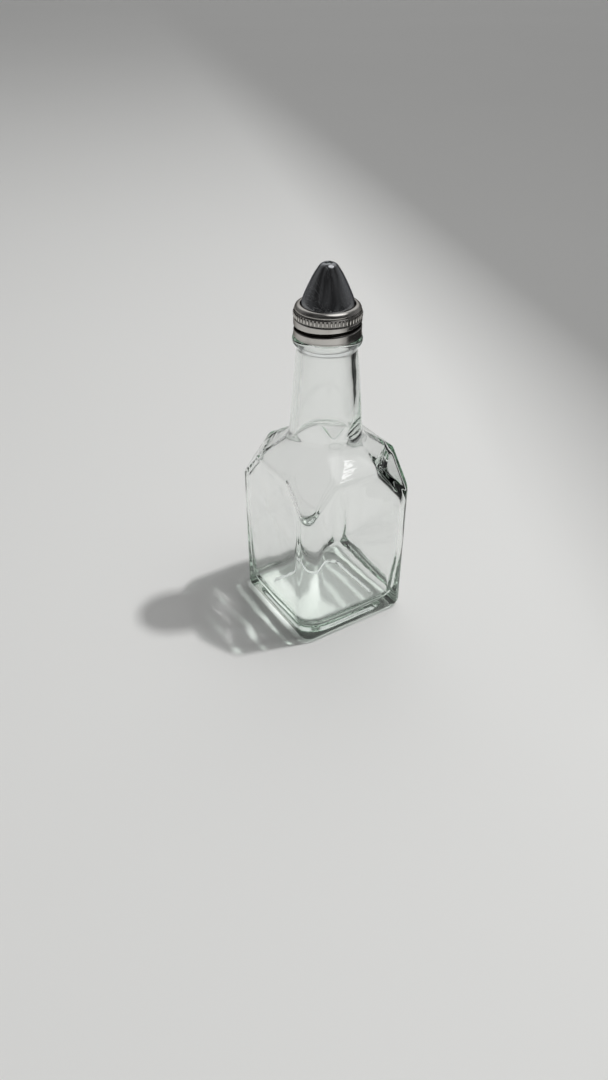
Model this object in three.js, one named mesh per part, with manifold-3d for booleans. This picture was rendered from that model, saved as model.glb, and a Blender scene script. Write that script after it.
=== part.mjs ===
// Square glass table bottle for oil or vinegar, with a metal screw collar that holds a conical pour spout.
// Millimetres, +Z up. The origin is the centre of the base, and the body's flat sides face X and Y.
import * as THREE from "three";
import { ConvexGeometry } from "three/addons/geometries/ConvexGeometry.js";
import { mergeVertices } from "three/addons/utils/BufferGeometryUtils.js";
import Module from "manifold-3d";

const wasm = await Module();
wasm.setup();

// Body: a square block with rounded upright edges, whose top corners are cut by three-sided facets
const BODY_HALF = 30; // half of the width across the flats
const CORNER_R = 6; // rounding of the upright edges
const HEEL_R = 4; // rounding of the bottom edge
const FACET_TIP_Z = 71; // lowest point of each corner facet, on the rounded upright edge
const SHOULDER_Z = 86.4; // top edge of the flat sides and of the corner facets
const FACET_CUT = 17; // how far a facet runs along each flat side at the shoulder
const SIDE_WALL = 2.3; // glass thickness of the sides
const FACET_WALL = 3.5; // glass thickness of the corner facets
const WALL = 3; // glass thickness of the shoulder
const FLOOR = 5.5; // glass thickness of the base
const CAVITY_CORNER_R = 7; // rounding of the cavity's upright edges
const CAVITY_HEEL_R = 6; // rounding where the cavity's sides meet its floor
const FOOT_INSET = 5.5; // distance from the flat sides to the rim that the bottle stands on
const FOOT_RISE = 0.3; // how much the underside rises from that rim to the sides
const BEARING_WIDTH = 4; // width of the rim
const PUSH_UP = 1.2; // depth of the hollow inside that rim
const PUSH_UP_RUN = 3.6; // width of the hollow's sloping border

// Neck: a slim cone between the shoulder and a bead, with the mouth above it inside the collar
const NECK_ROOT_Z = 95;
const NECK_ROOT_R = 17.2;
const NECK_TOP_R = 13.5;
const ROOT_FILLET = 4; // hollow curve from the shoulder into the neck
const BORE_ROOT_R = 14.2;
const BORE_MOUTH_R = 10;
const BEAD_FOOT_Z = 138; // top of the neck, where the bead's long sloping underside starts
const BEAD_Z = 142.8; // the bead's widest level
const BEAD_R = 15.3;
const BEAD_TOP_Z = 144.2;
const FINISH_R = 12.6; // glass inside the collar
const MOUTH_Z = 155.4;
const LIP_R = 1; // rounding of the mouth's outer edge

// Collar: thin sheet with a rounded rim, a knurled band and a rolled thread
const COLLAR_R = 14.7;
const COLLAR_BOTTOM_Z = 144.4;
const SHEET = 0.7;
const RIM_R = 2.35; // rounding of the rim, up to the edge of the hole that the spout comes through
const RIM_INNER_R = 12;
const RIM_Z = 155.6; // height at which the rounding starts
const KNURL_Z0 = 152.2;
const KNURL_Z1 = 155.6;
const KNURL_TEETH = 52;
const KNURL_DEPTH = 0.45;
const KNURL_PROUD = 0.25; // how far the ribs stand out of the skirt
const KNURL_END = 0.3; // height over which a rib runs out at each end
const EDGE_R = 0.15; // rounding of the skirt's lower edge

// Thread: a right-handed helix that is rolled into the collar's skirt
const PITCH = 3.9;
const THREAD_START = THREE.MathUtils.degToRad(60);
const THREAD_TURNS = 1;
const THREAD_Z = 147; // the groove's height where it starts
const GROOVE_DEPTH = 0.8;
const GROOVE_HALF = 1.2;
const THREAD_FADE = 0.08; // share of a turn over which the groove runs out at each end

// Spout: a hollow, slightly bulging cone on a flat flange, with a rounded tip around the pour hole
const SPOUT_FOOT_R = 11.75;
const SPOUT_LOWER = [10.5, 161]; // radius and height on the cone's flank
const SPOUT_UPPER = [7.3, 168];
const SPOUT_TIP = [4.4, 172.9]; // where the flank turns into the rounded tip
const SPOUT_TOP_Z = 174.8;
const SPOUT_WALL = 0.9;
const FLANGE_R = 13.2;
const FLANGE = 0.8;
const POUR_HOLE_R = 1.6;

const CLEARANCE = 0.1; // between the flange's edge and the collar around it

const BODY_STEPS = 6; // segments in a rounded corner
const NECK_SEGMENTS = 56;
const SPOUT_SEGMENTS = 48;
const GROOVE_LEVELS = 7;
const ARC_STEPS = 5;
const BEAD_STEPS = 4;

const glass = new THREE.MeshStandardMaterial({
  color: 0xdfe8e2, roughness: 0.05, metalness: 0, transparent: true, opacity: 0.35,
});
const collarMetal = new THREE.MeshStandardMaterial({ color: 0xa5a19b, roughness: 0.28, metalness: 1 });
const spoutMetal = new THREE.MeshStandardMaterial({ color: 0x8d9195, roughness: 0.12, metalness: 1 });

// A geometry's triangles as a solid that can be joined and cut.
function solidOf(geometry) {
  const bare = geometry.clone();
  for (const name of Object.keys(bare.attributes)) {
    if (name !== "position") bare.deleteAttribute(name);
  }
  const merged = mergeVertices(bare, 1e-4);
  const index = merged.index.array;
  const kept = [];
  for (let i = 0; i < index.length; i += 3) {
    const [a, b, c] = [index[i], index[i + 1], index[i + 2]];
    if (a !== b && b !== c && c !== a) kept.push(a, b, c);
  }
  return new wasm.Manifold(new wasm.Mesh({
    numProp: 3,
    vertProperties: merged.attributes.position.array,
    triVerts: new Uint32Array(kept),
  }));
}

// A solid's triangles as a flat-shaded geometry.
function geometryOf(solid) {
  const mesh = solid.getMesh();
  const geometry = new THREE.BufferGeometry();
  geometry.setAttribute("position", new THREE.BufferAttribute(mesh.vertProperties, 3));
  geometry.setIndex(new THREE.BufferAttribute(mesh.triVerts, 1));
  const flat = geometry.toNonIndexed();
  flat.computeVertexNormals();
  return flat;
}

// Points of a circular arc in a profile, from one angle to another in degrees, both ends included.
function arc(r, z, radius, from, to) {
  return Array.from({ length: ARC_STEPS + 1 }, (_, i) => {
    const angle = THREE.MathUtils.degToRad(THREE.MathUtils.lerp(from, to, i / ARC_STEPS));
    return new THREE.Vector2(r + radius * Math.cos(angle), z + radius * Math.sin(angle));
  });
}

// A profile of (radius, height) points turned about the Z axis, running upwards on its outer side.
function turned(profile, segments) {
  return new THREE.LatheGeometry(profile, segments).rotateX(Math.PI / 2);
}

function point(r, z) {
  return new THREE.Vector2(r, z);
}

// A square with rounded corners, centred on the axis.
function roundedSquare(half, radius) {
  const inner = half - radius;
  const shape = new THREE.Shape();
  shape.moveTo(half, -inner);
  for (const [sx, sy, quarter] of [[1, 1, 0], [-1, 1, 1], [-1, -1, 2], [1, -1, 3]]) {
    const from = (quarter * Math.PI) / 2;
    shape.absarc(sx * inner, sy * inner, radius, from, from + Math.PI / 2, false);
  }
  return shape;
}

// A rounded square block that stands on z = floor, with its bottom edge rounded off.
function block(half, cornerR, heelR, floor, top) {
  const geometry = new THREE.ExtrudeGeometry(roundedSquare(half, cornerR), {
    depth: top - floor,
    curveSegments: BODY_STEPS,
    bevelEnabled: true,
    bevelSegments: BODY_STEPS,
    bevelThickness: heelR,
    bevelSize: heelR,
    bevelOffset: -heelR,
  });
  return solidOf(geometry.translate(0, 0, floor + heelR));
}

// The body's sharp-edged form: upright sides, a facet at each top corner and a shoulder up to the neck.
function facetedForm({ half, floor, tipZ, shoulderZ, cut, rootZ, rootR }) {
  const points = [];
  const foot = half - FOOT_INSET;
  for (const sx of [-1, 1]) {
    for (const sy of [-1, 1]) {
      points.push(new THREE.Vector3(sx * foot, sy * foot, floor));
      points.push(new THREE.Vector3(sx * half, sy * half, floor + FOOT_RISE));
      points.push(new THREE.Vector3(sx * half, sy * half, tipZ));
      points.push(new THREE.Vector3(sx * half, sy * (half - cut), shoulderZ));
      points.push(new THREE.Vector3(sx * (half - cut), sy * half, shoulderZ));
    }
  }
  for (let i = 0; i < NECK_SEGMENTS; i++) {
    const angle = (2 * Math.PI * i) / NECK_SEGMENTS;
    points.push(new THREE.Vector3(rootR * Math.cos(angle), rootR * Math.sin(angle), rootZ));
  }
  return solidOf(new ConvexGeometry(points));
}

// A facet rises by this much for each millimetre of x + y that it loses on its way to the shoulder.
const roundedOff = CORNER_R * (2 - Math.SQRT2);
const facetRise = (SHOULDER_Z - FACET_TIP_Z) / (FACET_CUT - roundedOff);

// The shoulder rises by this much for each millimetre that it closes in, from the flat sides to the neck.
const shoulderRise = (NECK_ROOT_Z - SHOULDER_Z) / (BODY_HALF - NECK_ROOT_R);

const outerForm = {
  half: BODY_HALF, floor: 0, tipZ: FACET_TIP_Z - facetRise * roundedOff,
  shoulderZ: SHOULDER_Z, cut: FACET_CUT, rootZ: NECK_ROOT_Z, rootR: NECK_ROOT_R,
};

// The cavity's form has the outer form's planes, each moved inwards by its wall.
function cavityForm() {
  const half = BODY_HALF - SIDE_WALL;
  const facetDrop = FACET_WALL * Math.hypot(facetRise, facetRise, 1);
  const facetLevel = 2 * facetRise * BODY_HALF + outerForm.tipZ - facetDrop;
  const shoulderDrop = WALL * Math.hypot(shoulderRise, 1);
  const shoulderAt = (r) => SHOULDER_Z + (BODY_HALF - r) * shoulderRise - shoulderDrop;
  const shoulderZ = shoulderAt(half);
  return {
    half, floor: FLOOR, tipZ: facetLevel - 2 * facetRise * half, shoulderZ,
    cut: 2 * half - (facetLevel - shoulderZ) / facetRise,
    rootZ: shoulderAt(BORE_ROOT_R), rootR: BORE_ROOT_R,
  };
}

// How deep the rolled thread is at a point of the collar's skirt.
function grooveDepth(x, y, z) {
  const turn = (Math.atan2(y, x) - THREAD_START) / (2 * Math.PI);
  let depth = 0;
  for (let along = turn - Math.floor(turn); along <= THREAD_TURNS; along += 1) {
    const across = Math.min(1, Math.abs(z - THREAD_Z - PITCH * along) / GROOVE_HALF);
    const strength = Math.min(1, along / THREAD_FADE, (THREAD_TURNS - along) / THREAD_FADE);
    depth += GROOVE_DEPTH * strength * Math.cos((Math.PI / 2) * across) ** 2;
  }
  return depth;
}

// Moves every vertex of a geometry out from the axis by what a function of its place says.
function pushedOut(geometry, relief) {
  const place = geometry.getAttribute("position");
  for (let i = 0; i < place.count; i++) {
    const [x, y, z] = [place.getX(i), place.getY(i), place.getZ(i)];
    const r = Math.hypot(x, y);
    const scale = (r + relief(x, y, z, r)) / r;
    place.setXY(i, x * scale, y * scale);
  }
  return geometry;
}

// The neck and the mouth without their bore, from inside the shoulder upwards.
function neckSolid() {
  const filletTopZ = NECK_ROOT_Z + ROOT_FILLET;
  const taper = (NECK_TOP_R - NECK_ROOT_R) / (BEAD_FOOT_Z - NECK_ROOT_Z);
  const fillet = new THREE.QuadraticBezierCurve(
    point(NECK_ROOT_R + ROOT_FILLET, NECK_ROOT_Z - ROOT_FILLET * shoulderRise),
    point(NECK_ROOT_R, NECK_ROOT_Z),
    point(NECK_ROOT_R + ROOT_FILLET * taper, filletTopZ),
  );
  const beadUnder = new THREE.CubicBezierCurve(
    point(NECK_TOP_R, BEAD_FOOT_Z),
    point(NECK_TOP_R, THREE.MathUtils.lerp(BEAD_FOOT_Z, BEAD_Z, 0.4)),
    point(BEAD_R, THREE.MathUtils.lerp(BEAD_FOOT_Z, BEAD_Z, 0.5)),
    point(BEAD_R, BEAD_Z),
  );
  const beadOver = new THREE.QuadraticBezierCurve(
    point(BEAD_R, BEAD_Z),
    point(BEAD_R, BEAD_TOP_Z),
    point(FINISH_R, BEAD_TOP_Z),
  );
  const footZ = SHOULDER_Z - WALL;
  const profile = [
    point(0, footZ),
    point(NECK_ROOT_R + ROOT_FILLET, footZ),
    ...fillet.getPoints(ARC_STEPS),
    ...beadUnder.getPoints(BEAD_STEPS),
    ...beadOver.getPoints(BEAD_STEPS).slice(1),
    ...arc(FINISH_R - LIP_R, MOUTH_Z - LIP_R, LIP_R, 0, 90),
    point(0, MOUTH_Z),
  ];
  return solidOf(turned(profile, NECK_SEGMENTS));
}

// The neck's bore, from inside the cavity to above the mouth.
function boreSolid(rootZ) {
  const profile = [
    point(0, rootZ - WALL),
    point(BORE_ROOT_R, rootZ - WALL),
    point(BORE_ROOT_R, rootZ),
    point(BORE_MOUTH_R, BEAD_Z),
    point(BORE_MOUTH_R, MOUTH_Z + WALL),
    point(0, MOUTH_Z + WALL),
  ];
  return solidOf(turned(profile, NECK_SEGMENTS));
}

// The shallow hollow under the base, inside the rim that the bottle stands on.
function pushUpSolid() {
  const half = BODY_HALF - FOOT_INSET - BEARING_WIDTH;
  const geometry = new THREE.ExtrudeGeometry(roundedSquare(half, CORNER_R), {
    depth: PUSH_UP,
    curveSegments: BODY_STEPS,
    bevelEnabled: true,
    bevelSegments: 2,
    bevelThickness: PUSH_UP,
    bevelSize: PUSH_UP_RUN,
    bevelOffset: -PUSH_UP_RUN,
  });
  return solidOf(geometry.translate(0, 0, -PUSH_UP));
}

function glassBottle() {
  const cavity = cavityForm();
  const outside = block(BODY_HALF, CORNER_R, HEEL_R, 0, MOUTH_Z)
    .intersect(facetedForm(outerForm)).add(neckSolid());
  const inside = block(cavity.half, CAVITY_CORNER_R, CAVITY_HEEL_R, FLOOR, MOUTH_Z)
    .intersect(facetedForm(cavity)).add(boreSolid(cavity.rootZ));
  return new THREE.Mesh(geometryOf(outside.subtract(inside).subtract(pushUpSolid())), glass);
}

function screwCollar() {
  const inner = COLLAR_R - SHEET;
  const flangeTop = MOUTH_Z + FLANGE;
  const grooveTop = THREAD_Z + PITCH * THREAD_TURNS + GROOVE_HALF;
  const grooveLevels = Array.from({ length: GROOVE_LEVELS }, (_, i) => (
    THREE.MathUtils.lerp(THREAD_Z - GROOVE_HALF, grooveTop, i / (GROOVE_LEVELS - 1))
  ));
  const profile = [
    point(inner + EDGE_R, COLLAR_BOTTOM_Z),
    point(COLLAR_R - EDGE_R, COLLAR_BOTTOM_Z),
    point(COLLAR_R, COLLAR_BOTTOM_Z + EDGE_R),
    ...grooveLevels.map((z) => point(COLLAR_R, z)),
    point(COLLAR_R, KNURL_Z0),
    point(COLLAR_R, KNURL_Z0 + KNURL_END),
    point(COLLAR_R, KNURL_Z1 - KNURL_END),
    ...arc(RIM_INNER_R, RIM_Z, RIM_R, 6, 90),
    point(RIM_INNER_R, flangeTop),
    point(FLANGE_R + CLEARANCE, flangeTop),
    point(inner, flangeTop - FLANGE),
    ...grooveLevels.toReversed().map((z) => point(inner, z)),
    point(inner + EDGE_R, COLLAR_BOTTOM_Z),
  ];
  const relief = (x, y, z, r) => {
    if (z <= KNURL_Z0) return -grooveDepth(x, y, z);
    if (r < COLLAR_R - SHEET / 2 || z > KNURL_Z1) return 0;
    const halfTooth = Math.round((Math.atan2(y, x) / Math.PI) * KNURL_TEETH);
    return halfTooth % 2 === 0 ? KNURL_PROUD : KNURL_PROUD - KNURL_DEPTH;
  };
  return new THREE.Mesh(pushedOut(turned(profile, 2 * KNURL_TEETH), relief), collarMetal);
}

function pourSpout() {
  const flangeTop = MOUTH_Z + FLANGE;
  const flank = new THREE.SplineCurve([
    point(SPOUT_FOOT_R, flangeTop), point(...SPOUT_LOWER), point(...SPOUT_UPPER), point(...SPOUT_TIP),
  ]).getPoints(3 * ARC_STEPS);
  const taper = (SPOUT_UPPER[0] - SPOUT_TIP[0]) / (SPOUT_TIP[1] - SPOUT_UPPER[1]);
  const tip = new THREE.QuadraticBezierCurve(
    flank.at(-1),
    point(SPOUT_TIP[0] - taper * (SPOUT_TOP_Z - SPOUT_TIP[1]), SPOUT_TOP_Z),
    point(POUR_HOLE_R, SPOUT_TOP_Z),
  );
  const inside = flank.filter((_, i) => i % ARC_STEPS === 0).map((p) => point(p.x - SPOUT_WALL, p.y));
  inside[0].y = MOUTH_Z;
  const profile = [
    point(FLANGE_R, MOUTH_Z),
    point(FLANGE_R, flangeTop),
    ...flank,
    ...tip.getPoints(ARC_STEPS).slice(1),
    point(POUR_HOLE_R, SPOUT_TOP_Z - SPOUT_WALL),
    ...inside.reverse(),
    point(FLANGE_R, MOUTH_Z),
  ];
  return new THREE.Mesh(turned(profile, SPOUT_SEGMENTS), spoutMetal);
}

const bottle = new THREE.Group();
for (const [name, mesh] of [
  ["glass_bottle", glassBottle()], ["screw_collar", screwCollar()], ["pour_spout", pourSpout()],
]) {
  mesh.name = name;
  bottle.add(mesh);
}

export default bottle;
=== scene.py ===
import math

import bpy
import numpy as np
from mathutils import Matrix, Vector


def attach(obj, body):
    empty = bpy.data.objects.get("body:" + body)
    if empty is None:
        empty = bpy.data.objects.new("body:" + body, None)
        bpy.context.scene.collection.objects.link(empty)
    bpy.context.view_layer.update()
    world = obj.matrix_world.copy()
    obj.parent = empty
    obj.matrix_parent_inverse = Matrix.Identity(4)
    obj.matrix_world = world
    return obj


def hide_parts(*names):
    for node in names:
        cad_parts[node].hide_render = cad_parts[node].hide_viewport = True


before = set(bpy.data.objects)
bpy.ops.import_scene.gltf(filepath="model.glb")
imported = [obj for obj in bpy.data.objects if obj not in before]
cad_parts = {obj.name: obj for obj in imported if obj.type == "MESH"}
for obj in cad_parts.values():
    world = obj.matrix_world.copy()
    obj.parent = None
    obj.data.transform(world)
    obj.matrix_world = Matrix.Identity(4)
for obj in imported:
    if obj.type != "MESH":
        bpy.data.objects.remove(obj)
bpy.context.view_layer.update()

MM = 0.001

# Outside of the glass in millimetres, with the sizes of the solid.
BODY_HALF = 30.0
CORNER_R = 6.0
HEEL_R = 4.0
FACET_TIP_Z = 71.0
SHOULDER_Z = 86.4
FACET_CUT = 17.0
FOOT_INSET = 5.5
BEARING_WIDTH = 4.0
PUSH_UP = 1.2
PUSH_UP_RUN = 3.6
NECK_ROOT_Z = 95.0
NECK_ROOT_R = 17.2
NECK_TOP_R = 13.5
BEAD_FOOT_Z = 138.0
BEAD_Z = 142.8
BEAD_R = 15.3
BEAD_TOP_Z = 144.2
FINISH_R = 12.6
MOUTH_Z = 155.4
LIP_R = 1.0
FACET_EDGE_SOFT = 0.8
SHOULDER_EDGE_SOFT = 1.0
NECK_FLARE = 4.5

# Inside of the glass in millimetres: softer edges, and thinner shoulders than the solid has.
FLOOR = 5.5
SIDE_WALL = 2.3
FACET_WALL = 1.9
SHOULDER_WALL = 2.3
CAVITY_CORNER_R = 4.4
CAVITY_HEEL_R = 8.0
HEEL_CORNER_LOSS = 0.3
FRONT_CORNER_EXTRA = 4.1
LOW_CORNER_EXTRA = 6.0
LOW_CORNER_RUN = 24.0
CAVITY_FACET_SOFT = 3.2
CAVITY_SHOULDER_SOFT = 3.0
BORE_ROOT_R = 14.2
BORE_MOUTH_R = 10.0
BORE_FLARE = 7.0
FLOOR_DOME = 0.35
FLOOR_RIPPLE = 0.22

# The glass that has settled at one corner of the shoulder, and the corner that faces the viewer.
HEAVY_CORNER = math.radians(-45)
HEAVY_FACET = 2.6
HEAVY_ROOT = 2.0
HEAVY_ROOT_RUN = 9.0
FRONT_CORNER = math.radians(-135)

# The collar in millimetres, with the sizes of the solid.
COLLAR_R = 14.7
COLLAR_BOTTOM_Z = 144.4
SHEET = 0.7
RIM_R = 2.35
RIM_INNER_R = 12.0
RIM_Z = 155.6
KNURL_Z0 = 152.2
KNURL_Z1 = 155.6
KNURL_INSET = 0.35
KNURL_TEETH = 52
RIB_Z = (KNURL_Z0 + KNURL_Z1) / 2 - 0.1
RIB_HALF_SIZE = (0.55, 0.52, 1.45)
PITCH = 3.9
THREAD_START = math.radians(60)
THREAD_Z = 147.0
GROOVE_DEPTH = 0.8
GROOVE_HALF = 1.2
THREAD_FADE = 0.08

# The spout in millimetres, with the sizes of the solid.
SPOUT_FOOT_R = 11.75
SPOUT_TOP_Z = 174.8
SPOUT_WALL = 0.9
FLANGE_R = 13.2
FLANGE = 0.8
FLANGE_TOP_Z = MOUTH_Z + FLANGE
POUR_HOLE_R = 1.6

# Slopes and places that follow from those sizes.
ROUNDED_OFF = CORNER_R * (2 - math.sqrt(2))
FACET_RISE = (SHOULDER_Z - FACET_TIP_Z) / (FACET_CUT - ROUNDED_OFF)
FACET_LEVEL = FACET_TIP_Z + FACET_RISE * (2 * BODY_HALF - ROUNDED_OFF)
FACET_DROP = math.sqrt(2 * FACET_RISE ** 2 + 1)
SHOULDER_RISE = (NECK_ROOT_Z - SHOULDER_Z) / (BODY_HALF - NECK_ROOT_R)
SHOULDER_DROP = math.hypot(SHOULDER_RISE, 1)
CAVITY_HALF = BODY_HALF - SIDE_WALL
CAVITY_LEVEL = FACET_LEVEL - FACET_WALL * FACET_DROP
CAVITY_SHOULDER_Z = SHOULDER_Z + (BODY_HALF - CAVITY_HALF) * SHOULDER_RISE - SHOULDER_WALL * SHOULDER_DROP
CAVITY_ROOT_Z = SHOULDER_Z + (BODY_HALF - BORE_ROOT_R) * SHOULDER_RISE - SHOULDER_WALL * SHOULDER_DROP
CAVITY_CUT = 2 * CAVITY_HALF - (CAVITY_LEVEL - CAVITY_SHOULDER_Z) / FACET_RISE

# Points in each ring of a piece.
GLASS_AROUND = 288
COLLAR_AROUND = 312
SPOUT_AROUND = 128


# Mesh helpers

def new_piece(name, points, faces, material):
    """A smooth-shaded mesh object from points in millimetres."""
    mesh = bpy.data.meshes.new(name)
    mesh.from_pydata([tuple(p) for p in np.asarray(points) * MM], [], faces)
    mesh.materials.append(material)
    mesh.polygons.foreach_set("use_smooth", [True] * len(mesh.polygons))
    mesh.update()
    piece = bpy.data.objects.new(name, mesh)
    bpy.context.scene.collection.objects.link(piece)
    return piece


def stand_for(piece, node):
    """The piece takes the place of a CAD node, and moves with it."""
    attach(piece, "root")
    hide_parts(node)


def ring_points(angles, radius, z):
    """Points round the bottle's axis, all at one height."""
    return np.column_stack((radius * np.cos(angles), radius * np.sin(angles), np.full(len(angles), z)))


def ring_faces(rings, around, closed=False):
    """Quads between rings of points, each ring counter-clockwise seen from above."""
    faces = []
    for i in range(rings if closed else rings - 1):
        a = i * around
        b = ((i + 1) % rings) * around
        for j in range(around):
            k = (j + 1) % around
            faces.append((a + j, a + k, b + k, b + j))
    return faces


def turned(profile, around):
    """A closed profile of (radius, height), outer side upwards, turned about the bottle's axis."""
    angles = np.arange(around) * 2 * np.pi / around
    points = np.concatenate([ring_points(angles, r, z) for r, z in profile])
    return points, ring_faces(len(profile), around, closed=True)


def smooth_min(a, b, k):
    """The smaller of two values, blended over a width where they cross."""
    h = np.maximum(k - np.abs(a - b), 0) / k
    return np.minimum(a, b) - h * h * k / 4


def smooth_max(a, b, k):
    """The larger of two values, blended over a width where they cross."""
    return -smooth_min(-a, -b, k)


def arc(r, z, radius, start, end, steps):
    """Points on an arc round (r, z), between two angles in degrees."""
    turns = np.radians(np.linspace(start, end, steps + 1))
    return [(r + radius * math.cos(a), z + radius * math.sin(a)) for a in turns]


def through(points, steps):
    """A smooth line through the points, with a number of steps between each two."""
    p = np.array([points[0]] + list(points) + [points[-1]], float)
    line = []
    for i in range(1, len(p) - 2):
        a, b, c, d = p[i - 1:i + 3]
        for t in np.arange(steps) / steps:
            bend = (2 * a - 5 * b + 4 * c - d) * t * t + (3 * b - a - 3 * c + d) * t ** 3
            line.append(tuple(0.5 * (2 * b + (c - a) * t + bend)))
    line.append(tuple(p[-2]))
    return line


def curve(points, steps):
    """A Bezier curve between the first and the last point."""
    line = []
    for t in np.linspace(0, 1, steps + 1):
        p = np.array(points, float)
        while len(p) > 1:
            p = p[:-1] * (1 - t) + p[1:] * t
        line.append(tuple(p[0]))
    return line


def levels(*runs):
    """Heights from runs of (start, end, step), each height once."""
    heights = []
    for start, end, step in runs:
        count = max(1, round(abs(end - start) / step))
        heights += list(np.linspace(start, end, count, endpoint=False))
    return heights + [runs[-1][1]]


# The glass

def crowded_angles(edge):
    """Angles round the bottle that crowd at the four corners and at one angle on both sides of each."""
    eighth = np.linspace(0, np.pi / 4, 600)
    at_edge = 4 * np.exp(-((eighth - edge) / 0.05) ** 2)
    at_corner = 1.5 * np.exp(-((eighth - np.pi / 4) / 0.12) ** 2)
    crowd = 1 + at_edge + at_corner
    share = np.concatenate(([0], np.cumsum((crowd[1:] + crowd[:-1]) / 2)))
    part = np.interp(np.linspace(0, share[-1], GLASS_AROUND // 8 + 1), share, eighth)
    quarter = np.concatenate((part[:-1], np.pi / 2 - part[:0:-1]))
    return np.concatenate([quarter + i * np.pi / 2 for i in range(4)])


def facet_angle(z, half, level, cut):
    """Angle at which a corner facet's edge crosses a flat side: near the corner below the facet's tip."""
    reach = (level - z) / FACET_RISE - half
    return math.atan2(min(max(reach, half - cut), half - CORNER_R / 2), half)


def outer_angles(z):
    return crowded_angles(facet_angle(z, BODY_HALF, FACET_LEVEL, FACET_CUT))


def inner_angles(z):
    return crowded_angles(facet_angle(z, CAVITY_HALF, CAVITY_LEVEL, CAVITY_CUT))


def long_short(angles):
    """The larger and the smaller share of each direction along the bottle's sides."""
    c, s = np.abs(np.cos(angles)), np.abs(np.sin(angles))
    return np.maximum(c, s), np.minimum(c, s)


def square_radius(angles, half, corner):
    """Distance from the axis to a square with rounded corners, for every angle."""
    long, short = long_short(angles)
    flat = half / long
    centre = half - corner
    along = centre * (long + short)
    round_part = along + np.sqrt(np.maximum(along ** 2 - 2 * centre ** 2 + corner ** 2, 0))
    return np.where(flat * short <= centre, flat, round_part)


def shoulder_radius(angles, z, half, cut, foot_z, root_r, root_z):
    """Distance from the axis to the shoulder, which closes from an octagon to the neck's circle."""
    t = (z - foot_z) / (root_z - foot_z)
    side = half + (root_r - half) * t
    corner_side = (2 * half - cut) / math.sqrt(2)
    corner_side += (root_r - corner_side) * t
    if t >= 1:
        return np.full(GLASS_AROUND, max(side, 1.0))
    long, short = long_short(angles)
    flat = side / long
    cut_flat = corner_side * math.sqrt(2) / (long + short)
    if t <= 0:
        return np.minimum(flat, cut_flat)
    cx, cy = (1 - t) * half, (1 - t) * (half - cut)
    along = cx * long + cy * short
    bend = along + np.sqrt(np.maximum(along ** 2 - cx ** 2 - cy ** 2 + (root_r * t) ** 2, 0))
    radius = np.where(flat * short <= cy, flat, bend)
    return np.where(cut_flat * (long - short) <= (1 - t) * cut, cut_flat, radius)


def outer_ring(z):
    """The outside of the glass at one height, as (angles, radius at each, height)."""
    lift = max(0.0, HEEL_R - z)
    inset = HEEL_R - math.sqrt(HEEL_R ** 2 - lift ** 2)
    angles = outer_angles(z)
    body = square_radius(angles, BODY_HALF - inset, CORNER_R - inset)
    facet = (FACET_LEVEL - z) / (FACET_RISE * sum(long_short(angles)))
    shoulder = shoulder_radius(angles, z, BODY_HALF, FACET_CUT, SHOULDER_Z, NECK_ROOT_R, NECK_ROOT_Z)
    up_neck = (z - NECK_ROOT_Z) / (BEAD_FOOT_Z - NECK_ROOT_Z)
    neck = NECK_ROOT_R + (NECK_TOP_R - NECK_ROOT_R) * up_neck
    body = smooth_min(body, facet, FACET_EDGE_SOFT)
    body = smooth_min(body, shoulder, SHOULDER_EDGE_SOFT)
    return angles, smooth_max(body, neck, NECK_FLARE), z


def near_corner(angles, corner, power):
    """A mask that is 1 at one corner of the bottle and falls off round it."""
    return np.maximum(np.cos(angles - corner), 0) ** power


def wave(angles, z):
    """The slow unevenness of the cavity's wall, in millimetres."""
    return (0.16 * np.sin(2 * angles + 0.085 * z + 0.6) + 0.12 * np.sin(3 * angles - 0.13 * z + 2.1)
            + 0.08 * np.sin(5 * angles + 0.21 * z + 4.0))


def inner_ring(z):
    """The cavity at one height, as (angles, radius at each, height)."""
    lift = max(0.0, CAVITY_HEEL_R - (z - FLOOR))
    inset = CAVITY_HEEL_R - math.sqrt(max(CAVITY_HEEL_R ** 2 - lift ** 2, 0))
    angles = inner_angles(z)
    front = near_corner(angles, FRONT_CORNER, 4)
    heavy = near_corner(angles, HEAVY_CORNER, 3)
    low = math.exp(-((z - FLOOR) / LOW_CORNER_RUN) ** 2)
    corner = CAVITY_CORNER_R + FRONT_CORNER_EXTRA * front + LOW_CORNER_EXTRA * (1 - front) * low
    body = square_radius(angles, CAVITY_HALF - inset, corner - HEEL_CORNER_LOSS * inset)
    level = CAVITY_LEVEL - HEAVY_FACET * FACET_DROP * heavy
    facet = (level - z) / (FACET_RISE * sum(long_short(angles)))
    shoulder = shoulder_radius(
        angles, z, CAVITY_HALF, CAVITY_CUT, CAVITY_SHOULDER_Z, BORE_ROOT_R, CAVITY_ROOT_Z)
    up_bore = (z - CAVITY_ROOT_Z) / (BEAD_Z - CAVITY_ROOT_Z)
    bore = max(BORE_ROOT_R + (BORE_MOUTH_R - BORE_ROOT_R) * up_bore, BORE_MOUTH_R)
    body = smooth_min(body, facet, CAVITY_FACET_SOFT)
    body = smooth_min(body, shoulder, CAVITY_SHOULDER_SOFT)
    below_neck = min(1.0, max(0.0, (NECK_ROOT_Z + 12 - z) / 20))
    sag = HEAVY_ROOT * heavy * math.exp(-((z - NECK_ROOT_Z) / HEAVY_ROOT_RUN) ** 2)
    return angles, smooth_max(body, bore, BORE_FLARE) + below_neck * wave(angles, z) - sag, z


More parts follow.
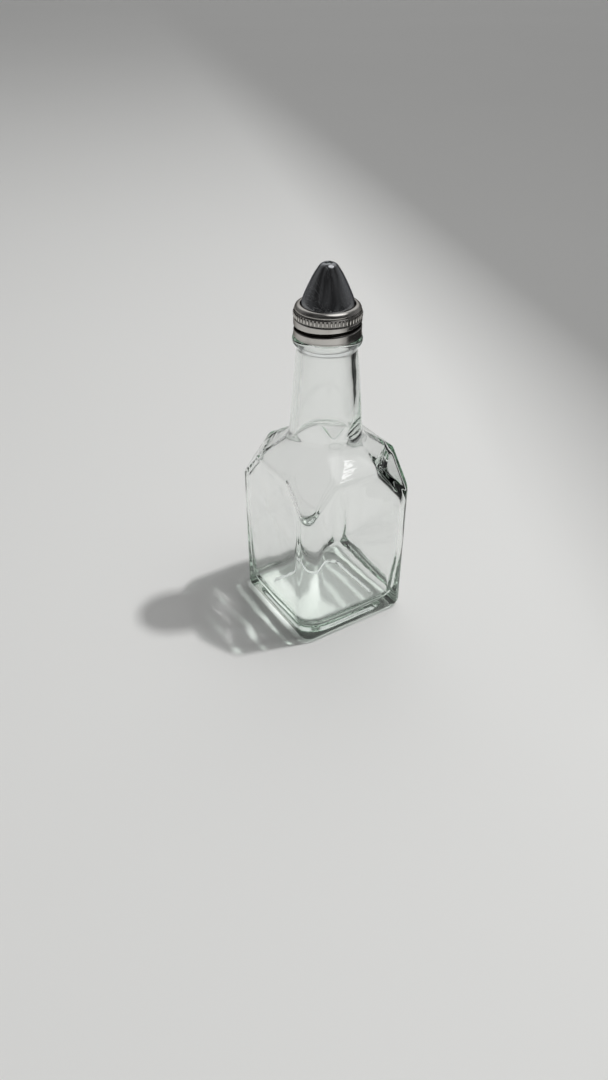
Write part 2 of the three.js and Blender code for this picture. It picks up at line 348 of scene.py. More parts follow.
def base_rings():
    """Rings from the middle of the hollow under the base out to the foot."""
    angles = outer_angles(0)
    hollow = BODY_HALF - FOOT_INSET - BEARING_WIDTH
    rings = []
    for half in np.linspace(2.0, hollow - PUSH_UP_RUN, 8):
        rings.append((angles, square_radius(angles, half, half * 0.35), PUSH_UP))
    for t in np.linspace(0, 1, 7)[1:]:
        half = hollow - PUSH_UP_RUN * (1 - t)
        rise = PUSH_UP * (0.5 + 0.5 * math.cos(math.pi * t))
        rings.append((angles, square_radius(angles, half, 6.0), rise))
    rings.append((angles, square_radius(angles, hollow + BEARING_WIDTH, 3.5), 0.0))
    return rings


def mouth_line():
    """The bead's long sloping underside and round top, the finish above it and the lip."""
    rise = BEAD_Z - BEAD_FOOT_Z
    under = [(NECK_TOP_R, BEAD_FOOT_Z), (NECK_TOP_R, BEAD_FOOT_Z + 0.4 * rise),
             (BEAD_R, BEAD_FOOT_Z + 0.5 * rise), (BEAD_R, BEAD_Z)]
    over = [(BEAD_R, BEAD_Z), (BEAD_R, BEAD_TOP_Z), (FINISH_R, BEAD_TOP_Z)]
    line = curve(under, 14)[1:] + curve(over, 8)[1:]
    line += [(FINISH_R, z) for z in (BEAD_TOP_Z + 0.5, 149.0, MOUTH_Z - LIP_R)]
    line += arc(FINISH_R - LIP_R, MOUTH_Z - LIP_R, LIP_R, 15, 90, 5)
    line += arc(BORE_MOUTH_R + 0.5, MOUTH_Z - 0.5, 0.5, 90, 180, 4)
    return line


def floor_rings(edge_ring):
    """Rings over the slightly domed and rippled floor of the cavity, from its edge inwards."""
    angles, edge, edge_z = edge_ring
    rings = []
    for t in np.linspace(1, 0.06, 14)[1:]:
        ripple = FLOOR_RIPPLE * math.sin(9.0 * t + 0.5) * (1 - t ** 6)
        dome = FLOOR_DOME * (1 - t * t)
        rings.append((angles, edge * t, edge_z * t ** 8 + (FLOOR + dome) * (1 - t ** 8) + ripple))
    return rings


def glass_rings():
    """Rings of (angles, radius at each, height), from under the base over the mouth to the inner floor."""
    rings = base_rings()
    heel = HEEL_R * (1 - np.cos(np.linspace(math.radians(13), math.pi / 2, 12)))
    sides = levels((HEEL_R + 1.5, 60, 3.5), (60, 97, 0.5), (97, 103, 0.8), (103, BEAD_FOOT_Z, 3.0))
    rings += [outer_ring(z) for z in [*heel, *sides]]
    neck = outer_angles(MOUTH_Z)
    rings += [(neck, np.full(GLASS_AROUND, r), z) for r, z in mouth_line()]
    bore = levels((152.0, BEAD_Z, 3.3), (BEAD_Z, 106, 3.0))[:-1]
    cavity = levels((106, 60, 0.55), (60, FLOOR + CAVITY_HEEL_R + 1, 3.0))
    bend = FLOOR + CAVITY_HEEL_R * (1 - np.sin(np.radians(np.linspace(0, 84, 12))))
    rings += [inner_ring(z) for z in [*bore, *cavity, *bend]]
    return rings + floor_rings(rings[-1])


def glass_bottle(material):
    rings = glass_rings()
    points = np.concatenate([ring_points(*ring) for ring in rings])
    last = (len(rings) - 1) * GLASS_AROUND
    under, floor = len(points), len(points) + 1
    poles = [(0, 0, rings[0][2]), (0, 0, rings[-1][2])]
    faces = ring_faces(len(rings), GLASS_AROUND)
    for j in range(GLASS_AROUND):
        k = (j + 1) % GLASS_AROUND
        faces.append((under, k, j))
        faces.append((floor, last + j, last + k))
    piece = new_piece("clear_glass_bottle", np.concatenate((points, poles)), faces, material)
    stand_for(piece, "glass_bottle")
    return piece


# Node helpers

def math_in(tree):
    """A function that adds a math node to a tree, with constants or links, and gives back its output."""
    def math_node(operation, a, b=None, clamp=False):
        node = tree.nodes.new("ShaderNodeMath")
        node.operation = operation
        node.use_clamp = clamp
        for socket, value in zip(node.inputs, (a, b)):
            if isinstance(value, (int, float)):
                socket.default_value = value
            elif value is not None:
                tree.links.new(value, socket)
        return node.outputs[0]
    return math_node


def xyz(tree, vector):
    """The three parts of a vector."""
    node = tree.nodes.new("ShaderNodeSeparateXYZ")
    tree.links.new(vector, node.inputs[0])
    return node.outputs


def scaled(tree, vector, factor):
    """A vector or a colour times a factor."""
    node = tree.nodes.new("ShaderNodeVectorMath")
    node.operation = "SCALE"
    tree.links.new(vector, node.inputs[0])
    tree.links.new(factor, node.inputs["Scale"])
    return node.outputs[0]


def squeezed(tree, vector, scale):
    """Coordinates with their own scale along each axis."""
    node = tree.nodes.new("ShaderNodeMapping")
    node.inputs["Scale"].default_value = scale
    tree.links.new(vector, node.inputs["Vector"])
    return node.outputs[0]


def noise(tree, vector, scale, detail=2.0):
    node = tree.nodes.new("ShaderNodeTexNoise")
    node.inputs["Scale"].default_value = scale
    node.inputs["Detail"].default_value = detail
    tree.links.new(vector, node.inputs["Vector"])
    return node.outputs["Fac"]


def spread(tree, value, low, high, from_low=0.0, from_high=1.0):
    """Maps a mask to a range of values."""
    node = tree.nodes.new("ShaderNodeMapRange")
    tree.links.new(value, node.inputs["Value"])
    node.inputs["From Min"].default_value = from_low
    node.inputs["From Max"].default_value = from_high
    node.inputs["To Min"].default_value = low
    node.inputs["To Max"].default_value = high
    return node.outputs[0]


def two_colours(tree, mask, first, second):
    """The first colour turning into the second where the mask is 1: each a constant or a node's output."""
    node = tree.nodes.new("ShaderNodeMix")
    node.data_type = "RGBA"
    tree.links.new(mask, node.inputs["Factor"])
    ends = [socket for socket in node.inputs if socket.type == "RGBA"]
    for socket, colour in zip(ends, (first, second)):
        if isinstance(colour, tuple):
            socket.default_value = (*colour, 1)
        else:
            tree.links.new(colour, socket)
    return [socket for socket in node.outputs if socket.type == "RGBA"][0]


def grey(level):
    return (level, level, level)


# The collar

def collar_blank():
    """The spun collar before its thread and its knurl are rolled in."""
    inner = COLLAR_R - SHEET
    band = COLLAR_R - KNURL_INSET
    outside = [(inner + 0.2, COLLAR_BOTTOM_Z), (COLLAR_R - 0.2, COLLAR_BOTTOM_Z + 0.02)]
    outside += arc(COLLAR_R - 0.2, COLLAR_BOTTOM_Z + 0.4, 0.35, -70, 0, 4)
    outside += [(COLLAR_R, z) for z in np.linspace(COLLAR_BOTTOM_Z + 0.8, KNURL_Z0 - 0.9, 40)]
    outside += through([(COLLAR_R, KNURL_Z0 - 0.6), (COLLAR_R - 0.05, KNURL_Z0 - 0.2),
                        (COLLAR_R - 0.3, KNURL_Z0 + 0.15), (band, KNURL_Z0 + 0.5)], 3)
    outside += [(band, z) for z in np.linspace(KNURL_Z0 + 0.7, KNURL_Z1 - 0.7, 5)]
    outside += through([(band, KNURL_Z1 - 0.5), (COLLAR_R - 0.7, KNURL_Z1 - 0.15),
                        (COLLAR_R - 0.85, KNURL_Z1 + 0.1), (COLLAR_R - 0.6, KNURL_Z1 + 0.3)], 3)
    outside += arc(RIM_INNER_R, RIM_Z, RIM_R, 11, 84, 14)
    lip = arc(RIM_INNER_R + 0.1, RIM_Z + RIM_R - 0.3, 0.3, 90, 180, 4)
    inside = [(RIM_INNER_R - 0.15, FLANGE_TOP_Z + 0.2), (RIM_INNER_R, FLANGE_TOP_Z)]
    inside += [(FLANGE_R + 0.1, FLANGE_TOP_Z), (inner, MOUTH_Z)]
    inside += [(inner, z) for z in np.linspace(KNURL_Z0, COLLAR_BOTTOM_Z + 0.2, 30)]
    return turned(outside + lip + inside, COLLAR_AROUND)


def collar_inputs(tree):
    """The named inputs and the output of the collar's tree."""
    tree.interface.new_socket("Blank", in_out="INPUT", socket_type="NodeSocketGeometry")
    for name in ("Thread Start", "Thread Height", "Pitch", "Groove Depth", "Groove Half Width",
                 "Run Out", "Thread Top", "Rib Ring", "Rib Height"):
        tree.interface.new_socket(name, in_out="INPUT", socket_type="NodeSocketFloat")
    tree.interface.new_socket("Ribs", in_out="INPUT", socket_type="NodeSocketInt")
    tree.interface.new_socket("Rib Size", in_out="INPUT", socket_type="NodeSocketVector")
    tree.interface.new_socket("Metal", in_out="INPUT", socket_type="NodeSocketMaterial")
    tree.interface.new_socket("Collar", in_out="OUTPUT", socket_type="NodeSocketGeometry")
    return tree.nodes.new("NodeGroupInput").outputs


def groove_depth(tree, given, place):
    """How deep the helical groove is at each point: one turn that runs out at both ends."""
    math_node = math_in(tree)
    x, y, z = xyz(tree, place)
    angle = math_node("SUBTRACT", math_node("ARCTAN2", y, x), given["Thread Start"])
    along = math_node("FRACT", math_node("DIVIDE", angle, 2 * math.pi))
    middle = math_node("ADD", given["Thread Height"], math_node("MULTIPLY", along, given["Pitch"]))
    off_middle = math_node("ABSOLUTE", math_node("SUBTRACT", z, middle))
    across = math_node("MINIMUM", math_node("DIVIDE", off_middle, given["Groove Half Width"]), 1)
    section = math_node("COSINE", math_node("MULTIPLY", across, math.pi / 2))
    section = math_node("MULTIPLY", section, section)
    start = math_node("MINIMUM", math_node("DIVIDE", along, given["Run Out"]), 1)
    left = math_node("SUBTRACT", 1, along)
    end = math_node("MINIMUM", math_node("DIVIDE", left, given["Run Out"]), 1)
    strength = math_node("MULTIPLY", start, end)
    depth = math_node("MULTIPLY", math_node("MULTIPLY", section, strength), given["Groove Depth"])
    return math_node("MULTIPLY", depth, math_node("LESS_THAN", z, given["Thread Top"]))


def knurl_ribs(tree, given, outwards):
    """A ring of smooth ribs that face outwards, still instances."""
    nodes, links = tree.nodes, tree.links
    ring = nodes.new("GeometryNodeMeshCircle")
    links.new(given["Ribs"], ring.inputs["Vertices"])
    links.new(given["Rib Ring"], ring.inputs["Radius"])
    lift = nodes.new("ShaderNodeCombineXYZ")
    links.new(given["Rib Height"], lift.inputs[2])
    lifted = nodes.new("GeometryNodeSetPosition")
    links.new(ring.outputs["Mesh"], lifted.inputs["Geometry"])
    links.new(lift.outputs[0], lifted.inputs["Offset"])
    face_out = nodes.new("FunctionNodeAlignRotationToVector")
    face_out.axis = "X"
    face_out.pivot_axis = "Z"
    links.new(outwards, face_out.inputs["Vector"])
    rib = nodes.new("GeometryNodeMeshUVSphere")
    rib.inputs["Segments"].default_value = 12
    rib.inputs["Rings"].default_value = 8
    rib.inputs["Radius"].default_value = 1.0
    smooth_rib = nodes.new("GeometryNodeSetShadeSmooth")
    links.new(rib.outputs["Mesh"], smooth_rib.inputs["Geometry"])
    knurl = nodes.new("GeometryNodeInstanceOnPoints")
    links.new(lifted.outputs[0], knurl.inputs["Points"])
    links.new(smooth_rib.outputs[0], knurl.inputs["Instance"])
    links.new(face_out.outputs[0], knurl.inputs["Rotation"])
    links.new(given["Rib Size"], knurl.inputs["Scale"])
    return knurl.outputs[0]


def rolled_collar_tree():
    """Geometry nodes that press a helical groove into a blank and set ribs round its knurled band."""
    tree = bpy.data.node_groups.new("rolled_collar", "GeometryNodeTree")
    nodes, links = tree.nodes, tree.links
    given = collar_inputs(tree)
    place = nodes.new("GeometryNodeInputPosition").outputs[0]
    x, y, _ = xyz(tree, place)
    flat = nodes.new("ShaderNodeCombineXYZ")
    links.new(x, flat.inputs[0])
    links.new(y, flat.inputs[1])
    outwards = nodes.new("ShaderNodeVectorMath")
    outwards.operation = "NORMALIZE"
    links.new(flat.outputs[0], outwards.inputs[0])
    inwards = math_in(tree)("MULTIPLY", groove_depth(tree, given, place), -1)
    rolled = nodes.new("GeometryNodeSetPosition")
    links.new(given["Blank"], rolled.inputs["Geometry"])
    links.new(scaled(tree, outwards.outputs[0], inwards), rolled.inputs["Offset"])
    joined = nodes.new("GeometryNodeJoinGeometry")
    links.new(rolled.outputs[0], joined.inputs[0])
    links.new(knurl_ribs(tree, given, outwards.outputs[0]), joined.inputs[0])
    real = nodes.new("GeometryNodeRealizeInstances")
    links.new(joined.outputs[0], real.inputs[0])
    dressed = nodes.new("GeometryNodeSetMaterial")
    links.new(real.outputs[0], dressed.inputs["Geometry"])
    links.new(given["Metal"], dressed.inputs["Material"])
    result = nodes.new("NodeGroupOutput")
    links.new(dressed.outputs[0], result.inputs[0])
    return tree


def shaped_by(piece, tree, values):
    """Runs a geometry nodes tree on a piece, with named inputs, and keeps the result as a plain mesh."""
    modifier = piece.modifiers.new("shape", "NODES")
    modifier.node_group = tree
    names = {item.name: item.identifier for item in tree.interface.items_tree if item.in_out == "INPUT"}
    for name, value in values.items():
        modifier[names[name]] = value
    bpy.context.view_layer.update()
    done = bpy.data.meshes.new_from_object(piece.evaluated_get(bpy.context.evaluated_depsgraph_get()))
    piece.modifiers.remove(modifier)
    blank = piece.data
    piece.data = done
    done.name = piece.name
    bpy.data.meshes.remove(blank)


def screw_collar(material):
    points, faces = collar_blank()
    piece = new_piece("knurled_screw_collar", points, faces, material)
    shaped_by(piece, rolled_collar_tree(), {
        "Thread Start": THREAD_START,
        "Thread Height": THREAD_Z * MM,
        "Pitch": PITCH * MM,
        "Groove Depth": GROOVE_DEPTH * MM,
        "Groove Half Width": GROOVE_HALF * MM,
        "Run Out": THREAD_FADE,
        "Thread Top": KNURL_Z0 * MM,
        "Ribs": KNURL_TEETH,
        "Rib Ring": (COLLAR_R - KNURL_INSET) * MM,
        "Rib Height": RIB_Z * MM,
        "Rib Size": tuple(size * MM for size in RIB_HALF_SIZE),
        "Metal": material,
    })
    stand_for(piece, "screw_collar")
    return piece


# The spout

def pour_spout(material):
    flank = through([(SPOUT_FOOT_R, FLANGE_TOP_Z), (11.3, 158.6), (10.5, 161), (8.97, 164.5),
                     (7.3, 168), (5.95, 170.5), (4.4, 172.9)], 6)
    tip = through([(4.4, 172.9), (3.75, 173.75), (3.0, 174.35), (2.3, 174.7), (1.95, SPOUT_TOP_Z),
                   (POUR_HOLE_R, SPOUT_TOP_Z - 0.2)], 3)
    inside = [(POUR_HOLE_R, SPOUT_TOP_Z - SPOUT_WALL)]
    inside += [(r - SPOUT_WALL, z) for r, z in flank[::-6]]
    inside[-1] = (inside[-1][0], MOUTH_Z)
    flange = [(FLANGE_R, MOUTH_Z), (FLANGE_R, FLANGE_TOP_Z)]
    points, faces = turned(flange + flank + tip[1:] + inside, SPOUT_AROUND)
    piece = new_piece("pour_spout_cone", points, faces, material)
    stand_for(piece, "pour_spout")
    return piece


# Materials

# Light through the glass: how much the painted caustic lines on the walls gather, and how much the base
# does, which is more light than reaches it and paints a brighter pool on the table under the bottle.
SIDE_GAIN = 1.8
PAINTED_CAUSTIC_GAIN = 11.0
BETWEEN_LINES_LOSS = 0.2
BASE_GAIN = 1.75
BASE_LINE_GAIN = 2.15


def handling_marks_group():
    """Smudges and fine scratches from use: a mask of smudges, a mask of scratches and a height for both."""
    tree = bpy.data.node_groups.new("handling_marks", "ShaderNodeTree")
    tree.interface.new_socket("Vector", in_out="INPUT", socket_type="NodeSocketVector")
    for name in ("Smudge Scale", "Smudge Share", "Scratch Scale"):
        tree.interface.new_socket(name, in_out="INPUT", socket_type="NodeSocketFloat")
    for name in ("Smudge", "Scratch", "Height"):
        tree.interface.new_socket(name, in_out="OUTPUT", socket_type="NodeSocketFloat")
    nodes, links = tree.nodes, tree.links
    given = nodes.new("NodeGroupInput")
    result = nodes.new("NodeGroupOutput")
    math_node = math_in(tree)

    cloud = nodes.new("ShaderNodeTexNoise")
    cloud.inputs["Detail"].default_value = 5.0
    cloud.inputs["Roughness"].default_value = 0.6
    links.new(given.outputs["Vector"], cloud.inputs["Vector"])
    links.new(given.outputs["Smudge Scale"], cloud.inputs["Scale"])
    share = math_node("MULTIPLY", given.outputs["Smudge Share"], 0.4)
    smudge = spread(tree, cloud.outputs["Fac"], 0.0, 1.0, 0.0, 0.8)
    smudge.node.interpolation_type = "SMOOTHSTEP"
    links.new(math_node("SUBTRACT", 0.75, share), smudge.node.inputs["From Min"])

    stretch = nodes.new("ShaderNodeMapping")
    stretch.inputs["Rotation"].default_value = (0.5, 0.3, 0.9)
    stretch.inputs["Scale"].default_value = (1.0, 0.06, 0.35)
    links.new(given.outputs["Vector"], stretch.inputs["Vector"])
    hair = nodes.new("ShaderNodeTexNoise")
    hair.inputs["Detail"].default_value = 2.0
    hair.inputs["Distortion"].default_value = 1.6
    links.new(stretch.outputs[0], hair.inputs["Vector"])
    links.new(given.outputs["Scratch Scale"], hair.inputs["Scale"])
    line = math_node("ABSOLUTE", math_node("SUBTRACT", hair.outputs["Fac"], 0.5))
    scratch = math_node("SUBTRACT", 1.0, math_node("MULTIPLY", line, 60.0), clamp=True)
    height = math_node("SUBTRACT", math_node("MULTIPLY", smudge, 0.3), scratch)

    links.new(smudge, result.inputs["Smudge"])
    links.new(scratch, result.inputs["Scratch"])
    links.new(height, result.inputs["Height"])
    return tree


MARKS = handling_marks_group()


def material_start(name):
    """A new material, its tree, its shader and its coordinates."""
    material = bpy.data.materials.new(name)
    material.use_nodes = True
    tree = material.node_tree
    coords = tree.nodes.new("ShaderNodeTexCoord")
    return material, tree, tree.nodes["Principled BSDF"], coords.outputs["Object"]


def marks_in(tree, coords, smudge_scale, smudge_share, scratch_scale):
    """The handling marks with a material's own values."""
    marks = tree.nodes.new("ShaderNodeGroup")
    marks.node_tree = MARKS
    tree.links.new(coords, marks.inputs["Vector"])
    marks.inputs["Smudge Scale"].default_value = smudge_scale
    marks.inputs["Smudge Share"].default_value = smudge_share
    marks.inputs["Scratch Scale"].default_value = scratch_scale
    return marks.outputs


def bump(tree, shader, height, distance):
    """Relief from a height between 0 and 1, as deep as the distance in metres."""
    node = tree.nodes.new("ShaderNodeBump")
    node.inputs["Strength"].default_value = 1.0
    node.inputs["Distance"].default_value = distance
    tree.links.new(height, node.inputs["Height"])
    tree.links.new(node.outputs[0], shader.inputs["Normal"])


def painted_caustic_lines(tree, coords):
    """Wavy level lines on the walls: painted caustics, where more of the lamps' light is let through the
    glass.
    """
    waves = tree.nodes.new("ShaderNodeTexWave")
    waves.bands_direction = "Z"
    waves.inputs["Scale"].default_value = 12.6
    waves.inputs["Distortion"].default_value = 2.0
    waves.inputs["Detail"].default_value = 1.0
    waves.inputs["Detail Scale"].default_value = 3.0
    tree.links.new(coords, waves.inputs["Vector"])
    return spread(tree, waves.outputs["Fac"], 0.0, 1.0, 0.76, 1.0)


def light_through(tree, coords):
    """Share of the lamps' light that passes the glass: less at a slant, more in painted caustic lines (most
    on the -X wall), and more than all of it through the base.
    """
    math_node = math_in(tree)
    x, y, z = xyz(tree, coords)
    lines = painted_caustic_lines(tree, coords)
    facing = tree.nodes.new("ShaderNodeLayerWeight")
    facing.inputs["Blend"].default_value = 0.5
    slanted = two_colours(tree, facing.outputs["Facing"], (0.85, 0.86, 0.855), (0.12, 0.13, 0.125))
    reach = math_node("MAXIMUM", math_node("ABSOLUTE", x), math_node("ABSOLUTE", y))
    side = math_node("MULTIPLY", math_node("GREATER_THAN", reach, (BODY_HALF - 1) * MM),
                     math_node("LESS_THAN", z, FACET_TIP_Z * MM))
    # Painted caustics: the -X wall's lines let through far more light, which draws bright streaks in its
    # shadow.
    painted_caustic_side = math_node("LESS_THAN", x, (1 - BODY_HALF) * MM)
    gain = math_node("ADD", math_node("MULTIPLY", painted_caustic_side, PAINTED_CAUSTIC_GAIN), SIDE_GAIN)
    lens = math_node("SUBTRACT", math_node("MULTIPLY", lines, gain), BETWEEN_LINES_LOSS)
    lens = math_node("ADD", math_node("MULTIPLY", lens, side), 1.0)
    walls = scaled(tree, slanted, lens)
    surface = tree.nodes.new("ShaderNodeNewGeometry")
    slope = xyz(tree, surface.outputs["True Normal"])
    level = math_node("GREATER_THAN", math_node("ABSOLUTE", slope["Z"]), 0.3)
    low = spread(tree, z, 1.0, 0.0, (FLOOR + 2) * MM, (FLOOR + 4) * MM)
    # Painted light: the base lets through more light than reaches it, which brightens the table under the
    # bottle.
    base = two_colours(tree, lines, grey(BASE_GAIN), grey(BASE_LINE_GAIN))
    return two_colours(tree, math_node("MULTIPLY", level, low), walls, base)


def shoulder_ripples(tree, coords):
    """Fine level ripples along the shoulder, on the side away from the -X wall."""
    math_node = math_in(tree)
    x, _, z = xyz(tree, coords)
    off_shoulder = math_node("ABSOLUTE", math_node("SUBTRACT", z, (SHOULDER_Z + 2) * MM))
    near = spread(tree, off_shoulder, 1.0, 0.0, 3 * MM, 6 * MM)
    strength = spread(tree, x, 0.0, 0.5, -20 * MM, -10 * MM)
    ripple = noise(tree, squeezed(tree, coords, (60.0, 60.0, 900.0)), 1.0, 1.0)
    return math_node("MULTIPLY", ripple, math_node("MULTIPLY", near, strength))


def clear_glass():
    material, tree, shader, coords = material_start("clear_soda_glass")
    output = tree.nodes["Material Output"]
    smudge = marks_in(tree, coords, smudge_scale=55.0, smudge_share=0.35, scratch_scale=500.0)["Smudge"]
    shader.inputs["Transmission Weight"].default_value = 1.0
    shader.inputs["IOR"].default_value = 1.5
    tree.links.new(two_colours(tree, smudge, grey(1.0), (0.975, 0.985, 0.975)), shader.inputs["Base Color"])
    tree.links.new(spread(tree, smudge, 0.0, 0.045), shader.inputs["Roughness"])
    flow = noise(tree, coords, 70.0, 1.0)
    bump(tree, shader, math_in(tree)("ADD", flow, shoulder_ripples(tree, coords)), 0.0003)
    tint = tree.nodes.new("ShaderNodeVolumeAbsorption")
    tint.inputs["Color"].default_value = (0.66, 0.86, 0.72, 1)
    tint.inputs["Density"].default_value = 16.0
    tree.links.new(tint.outputs[0], output.inputs["Volume"])
    clear = tree.nodes.new("ShaderNodeBsdfTransparent")
    tree.links.new(light_through(tree, coords), clear.inputs["Color"])
    rays = tree.nodes.new("ShaderNodeLightPath")
    mix = tree.nodes.new("ShaderNodeMixShader")
    tree.links.new(rays.outputs["Is Shadow Ray"], mix.inputs[0])
    tree.links.new(shader.outputs[0], mix.inputs[1])
    tree.links.new(clear.outputs[0], mix.inputs[2])
    tree.links.new(mix.outputs[0], output.inputs["Surface"])
    return material


def groove_grime_and_painted_shade(tree, coords):
    """Near-black painted shade, with some dirt, where the collar's skirt lies back from its outermost
    radius.
    """
    math_node = math_in(tree)
    x, y, z = xyz(tree, coords)
    radius = math_node("SQRT", math_node("ADD", math_node("MULTIPLY", x, x), math_node("MULTIPLY", y, y)))
    deep = spread(tree, radius, 1.0, 0.0, (COLLAR_R - 0.38) * MM, (COLLAR_R - 0.06) * MM)
    knurled = math_node("GREATER_THAN", z, KNURL_Z0 * MM)
    kept = math_node("SUBTRACT", 1.0, math_node("MULTIPLY", knurled, 0.5))
    below_rim = math_node("LESS_THAN", z, KNURL_Z1 * MM)
    return math_node("MULTIPLY", math_node("MULTIPLY", deep, kept), below_rim)


def satin_collar_metal():
    material, tree, shader, coords = material_start("satin_collar_metal")
    smudge = marks_in(tree, coords, smudge_scale=160.0, smudge_share=0.6, scratch_scale=900.0)["Smudge"]
    streaks = noise(tree, squeezed(tree, coords, (60.0, 60.0, 5000.0)), 1.0, 3.0)
    sheet = two_colours(tree, smudge, (0.68, 0.66, 0.63), (0.52, 0.50, 0.47))
    # Painted shade: where the skirt lies back (groove, knurl band, neck-in) the metal turns near black.
    soiled_and_shaded = two_colours(tree, groove_grime_and_painted_shade(tree, coords), sheet, (0.02, 0.018, 0.016))
    tree.links.new(soiled_and_shaded, shader.inputs["Base Color"])
    shader.inputs["Metallic"].default_value = 1.0
    shader.inputs["Specular Tint"].default_value = (0.25, 0.24, 0.23, 1)
    tree.links.new(spread(tree, streaks, 0.14, 0.26), shader.inputs["Roughness"])
    bump(tree, shader, streaks, 0.00002)
    return material


def polished_spout_metal():
    material, tree, shader, coords = material_start("polished_spout_metal")
    marks = marks_in(tree, coords, smudge_scale=130.0, smudge_share=0.55, scratch_scale=700.0)
    polish = two_colours(tree, marks["Smudge"], (0.46, 0.47, 0.49), (0.38, 0.39, 0.41))
    tree.links.new(polish, shader.inputs["Base Color"])
    shader.inputs["Metallic"].default_value = 1.0
    shader.inputs["Specular Tint"].default_value = (0.15, 0.15, 0.16, 1)
    tree.links.new(spread(tree, marks["Smudge"], 0.09, 0.22), shader.inputs["Roughness"])
    bump(tree, shader, marks["Height"], 0.000012)
    return material


def pale_table():
    material, tree, shader, coords = material_start("pale_table")
    paint = two_colours(tree, noise(tree, coords, 2.0), (0.80, 0.80, 0.785), (0.82, 0.82, 0.805))
    tree.links.new(paint, shader.inputs["Base Color"])
    shader.inputs["Roughness"].default_value = 0.6
    shader.inputs["Specular IOR Level"].default_value = 0.2
    return material


def dark_card():
    material, tree, shader, coords = material_start("dark_card")
    paper = two_colours(tree, noise(tree, coords, 40.0), grey(0.02), grey(0.035))
    tree.links.new(paper, shader.inputs["Base Color"])
    return material


# The stage, in metres

CAMERA_PLACE = Vector((-0.1890, -0.2805, 0.2823))
CAMERA_AIM = Vector((-0.00854, 0.00539, 0.03446))
CAMERA_LENS = 27.51

# Level directions seen from the camera.
AHEAD = Vector((0.5585, 0.8295, 0))
RIGHT = Vector((0.8295, -0.5585, 0))

CAP = Vector((0, 0, 0.154))
SHOULDER = Vector((-0.006, -0.028, 0.088))
OVERHEAD = Vector((0.334, -0.225, 0.915))
FAR_GLOW = Vector((0.440, 0.654, 0.616))
CEILING_GLOW = Vector((0.256, -0.173, 0.951))
TABLE_REACH = 30.0

# The part of the table that the key lamp leaves dark, and how far up to the lamp its card stands.
DARK_TABLE = [(0.23, 0.0), (0.10, -0.25), (0.10, -3.0), (4.0, -3.0), (4.0, 9.0), (3.5, 9.0), (0.275, 0.093)]
SHADE_CARD_SHARE = 0.68

DARK_CARD_OFF = 0.13
DARK_CARD_NEAR = -0.06
DARK_CARD_FAR = 0.25
DARK_CARD_TOP = 0.13
NECK_CARD_BOTTOM = 0.05


def direction(across, up):
    """A direction from an angle round the bottle and an angle above the table, in degrees."""
    across, up = math.radians(across), math.radians(up)
    return Vector((math.cos(up) * math.cos(across), math.cos(up) * math.sin(across), math.sin(up)))


def hide_from(thing, rays):
    """The named kinds of rays pass a thing by."""
    for ray in rays:
        setattr(thing, "visible_" + ray, False)


def stage_sheet(name, corners, material, hidden_from=()):
    """A flat sheet of the stage."""
    mesh = bpy.data.meshes.new(name)
    mesh.from_pydata(corners, [], [tuple(range(len(corners)))])
    mesh.materials.append(material)
    sheet = bpy.data.objects.new(name, mesh)
    bpy.context.scene.collection.objects.link(sheet)
    hide_from(sheet, hidden_from)
    return sheet


def table_top(material):
    r = TABLE_REACH
    return stage_sheet("table_top", [(-r, -r, 0), (r, -r, 0), (r, r, 0), (-r, r, 0)], material)


def shade_card(light, material):
    """A card in front of a lamp, which keeps it off the right of the table and nothing else."""
    outline = [Vector((x, y, 0)).lerp(light.location, SHADE_CARD_SHARE) for x, y in DARK_TABLE]
    stage_sheet("shade_card", outline, material, ("camera", "diffuse", "glossy", "transmission"))


def dark_cards(material):
    """Dark cards to the right of the bottle: one shows in the gloss, the other through the neck."""
    near = RIGHT * DARK_CARD_OFF + AHEAD * DARK_CARD_NEAR
    far = RIGHT * DARK_CARD_OFF + AHEAD * DARK_CARD_FAR
    top = Vector((0, 0, DARK_CARD_TOP))
    cards = [("black_card", 0.0, "transmission"), ("neck_card", NECK_CARD_BOTTOM, "glossy")]
    for name, bottom_z, ray in cards:
        bottom = Vector((0, 0, bottom_z))
        corners = [near + bottom, far + bottom, far + top, near + top]
        stage_sheet(name, corners, material, ("camera", "diffuse", "shadow", ray))


def camera_at_photo():
    data = bpy.data.cameras.new("camera")
    data.sensor_width = 36.0
    data.lens = CAMERA_LENS
    data.clip_start = 0.01
    data.clip_end = 200.0
    camera = bpy.data.objects.new("camera", data)
    camera.location = CAMERA_PLACE
    camera.rotation_euler = (CAMERA_AIM - CAMERA_PLACE).to_track_quat("-Z", "Y").to_euler()
    bpy.context.scene.collection.objects.link(camera)
    bpy.context.scene.camera = camera


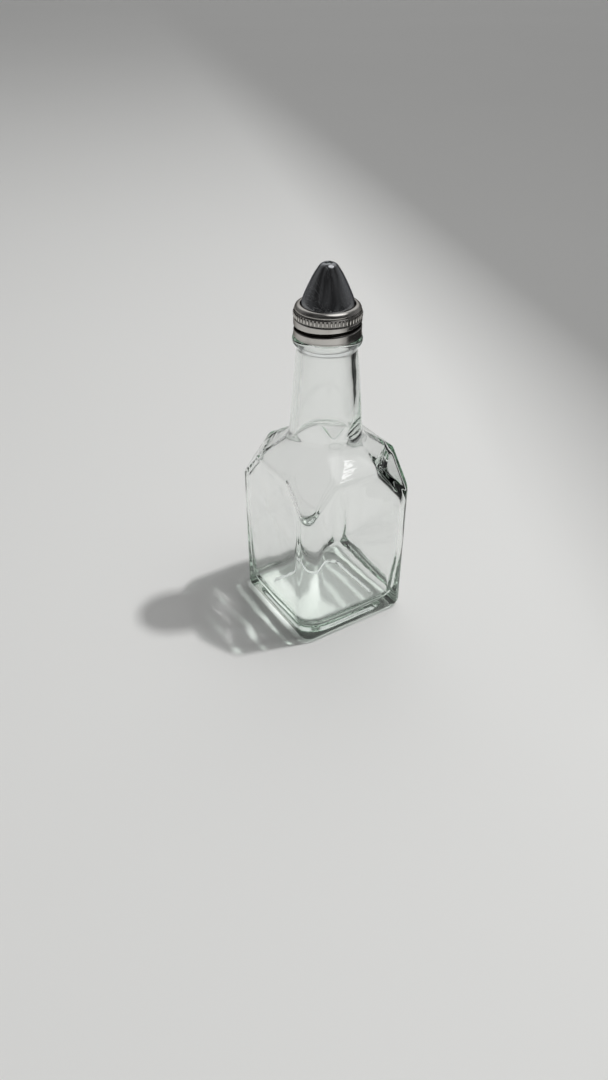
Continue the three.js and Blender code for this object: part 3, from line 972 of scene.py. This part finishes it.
def room():
    """A grey room: dark on the near side, lighter on the far side and overhead."""
    world = bpy.data.worlds.new("room")
    world.use_nodes = True
    world.cycles.sampling_method = "NONE"
    tree = world.node_tree
    math_node = math_in(tree)
    outwards = tree.nodes.new("ShaderNodeTexCoord").outputs["Generated"]

    def glow(towards, edge, core, low, high):
        """Light that grows from low to high between two distances from a direction, given as cosines."""
        near = tree.nodes.new("ShaderNodeVectorMath")
        near.operation = "DOT_PRODUCT"
        tree.links.new(outwards, near.inputs[0])
        near.inputs[1].default_value = towards
        patch = spread(tree, near.outputs["Value"], low, high, edge, core)
        patch.node.interpolation_type = "SMOOTHSTEP"
        return patch

    light = glow(AHEAD, edge=-0.2, core=0.5, low=0.03, high=0.15)
    far_side = glow(FAR_GLOW, edge=0.78, core=0.94, low=0.0, high=0.55)
    ceiling = glow(CEILING_GLOW, edge=0.90, core=0.985, low=0.0, high=1.3)
    light = math_node("ADD", math_node("ADD", light, far_side), ceiling)
    patches = noise(tree, outwards, 1.8, 1.0)
    light = math_node("ADD", light, spread(tree, patches, 0.0, 0.06, 0.45, 0.7))
    sky = tree.nodes["Background"]
    tree.links.new(light, sky.inputs["Strength"])
    sky.inputs["Color"].default_value = (1, 1, 1, 1)
    return world


def lamp(name, target, offset, size, power, hidden_from):
    """A rectangular lamp that looks at its target."""
    light = bpy.data.lights.new(name, "AREA")
    light.shape = "RECTANGLE"
    light.size, light.size_y = size
    light.energy = power
    stand = bpy.data.objects.new(name, light)
    stand.location = target + offset
    stand.rotation_euler = (-offset).to_track_quat("-Z", "Y").to_euler()
    bpy.context.scene.collection.objects.link(stand)
    hide_from(stand, hidden_from)
    return stand


def studio():
    """The room and the lamps. Gives back the key lamp."""
    scene = bpy.context.scene
    scene.view_settings.view_transform = "Standard"
    scene.cycles.max_bounces = 32
    scene.cycles.transmission_bounces = 32
    scene.cycles.glossy_bounces = 12
    scene.cycles.caustics_reflective = False
    scene.cycles.caustics_refractive = True
    scene.world = room()
    unseen = ("glossy", "transmission")
    key_offset = direction(across=-20.8, up=62.5) * 1.8
    key = lamp("key", CAP, key_offset, size=(0.10, 0.07), power=18.6, hidden_from=unseen)
    key.data.cycles.is_caustics_light = True
    soft_offset = direction(across=-26.5, up=57.8) * 1.7
    lamp("soft_box", SHOULDER, soft_offset, size=(0.24, 0.04), power=0.21, hidden_from=("transmission",))
    lamp("overhead", CAP, OVERHEAD * 1.6, size=(1.1, 1.1), power=3.0, hidden_from=unseen)
    return key


camera_at_photo()
pale = pale_table()
floor = table_top(pale)
key = studio()
shade_card(key, pale)
dark_cards(dark_card())
bottle = glass_bottle(clear_glass())
screw_collar(satin_collar_metal())
pour_spout(polished_spout_metal())

bottle.cycles.is_caustics_caster = True
floor.cycles.is_caustics_receiver = True
